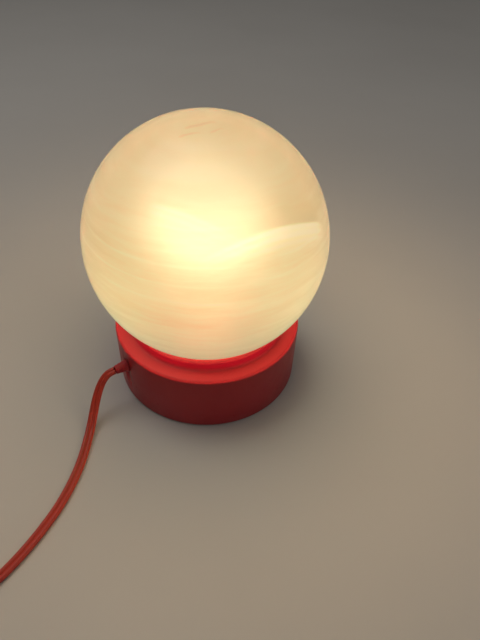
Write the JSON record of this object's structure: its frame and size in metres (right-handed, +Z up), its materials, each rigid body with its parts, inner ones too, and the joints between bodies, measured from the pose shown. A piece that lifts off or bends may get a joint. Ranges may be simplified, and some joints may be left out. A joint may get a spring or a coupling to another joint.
{
  "type": "globe table lamp",
  "caption": "Opal glass globe resting in the collar of a short round plastic base, with a screw-cap bulb inside and a flat mains cord with an in-line switch and a plug.",
  "frame": {"origin": "on the lamp's axis, at the surface it stands on", "axes": "+Z up along the axis of the globe and base; -Y is the side the lamp is seen from"},
  "size_m": [0.3193, 0.2558, 0.181],
  "materials": {
    "base_plastic": "satin red moulded plastic",
    "cover_plastic": "matt black moulded plastic",
    "steel": "zinc-plated steel",
    "foot_rubber": "matt rubber",
    "opal_glass": "opal glass with a faint alabaster swirl, lit from inside",
    "brass": "plain brass",
    "holder_plastic": "heat-resistant cream plastic",
    "holder_ceramic": "unglazed ceramic insulator",
    "bulb_glass": "frosted glass",
    "bulb_metal": "nickel-plated",
    "black_glass": "black insulating glass",
    "solder": "dull solder",
    "filament": "tungsten, glowing",
    "cord_pvc": "red flexible PVC",
    "switch_plastic": "cream moulded plastic",
    "rocker_plastic": "black moulded plastic",
    "plug_pvc": "red moulded PVC",
    "pin_metal": "nickel-plated"
  },
  "bodies": {
    "base": {"base_shell": "base_plastic", "bottom_cover": "cover_plastic", "cover_screw_1": "steel", "cover_screw_2": "steel", "cover_screw_3": "steel", "cover_screw_4": "steel", "foot_1": "foot_rubber", "foot_2": "foot_rubber", "foot_3": "foot_rubber", "foot_4": "foot_rubber", "holder_nipple": "brass", "nipple_washer": "steel", "nipple_nut": "steel", "holder_base": "holder_plastic", "holder_skirt": "holder_plastic", "holder_core": "holder_ceramic", "holder_thread": "brass", "holder_contact": "brass", "terminal_screw_1": "brass", "terminal_screw_2": "brass", "cord_grommet": "base_plastic", "inner_lead": "cord_pvc", "cord_lead": "cord_pvc", "cord_link": "cord_pvc", "cord_coil": "cord_pvc", "cord_tail": "cord_pvc", "switch_lower": "switch_plastic", "switch_upper": "switch_plastic", "switch_screw_1": "steel", "switch_screw_2": "steel", "plug_body": "plug_pvc", "plug_pin_1": "pin_metal", "plug_pin_2": "pin_metal"},
    "globe": {"globe": "opal_glass"},
    "bulb_carrier": {"bulb_tip": "solder"},
    "bulb": {"bulb_glass": "bulb_glass", "bulb_cap": "bulb_metal", "bulb_insulator": "black_glass", "bulb_stem": "bulb_glass", "bulb_wire_1": "bulb_metal", "bulb_wire_2": "bulb_metal", "bulb_filament": "filament"},
    "rocker": {"switch_rocker": "rocker_plastic"}
  },
  "joints": [
    {"name": "globe_lift", "type": "slide", "parent": "base", "child": "globe", "axis": [0, 0, 1], "range_m": [0, 0.14]},
    {"name": "bulb_rise", "type": "slide", "parent": "base", "child": "bulb_carrier", "axis": [0, 0, 1], "range_m": [0, 0.02]},
    {"name": "bulb_turn", "type": "hinge", "parent": "bulb_carrier", "child": "bulb", "pos_m": [0, 0, 0.1], "axis": [0, 0, 1], "range_deg": [0, 1980]},
    {"name": "switch_rock", "type": "hinge", "parent": "base", "child": "rocker", "pos_m": [-0.17, -0.169, 0.0115], "axis": [0, -1, 0], "range_deg": [0, 16]}
  ],
  "couplings": [
    {"joint": "bulb_rise", "follows": "bulb_turn", "m_per_rad": 0.00057773}
  ]
}
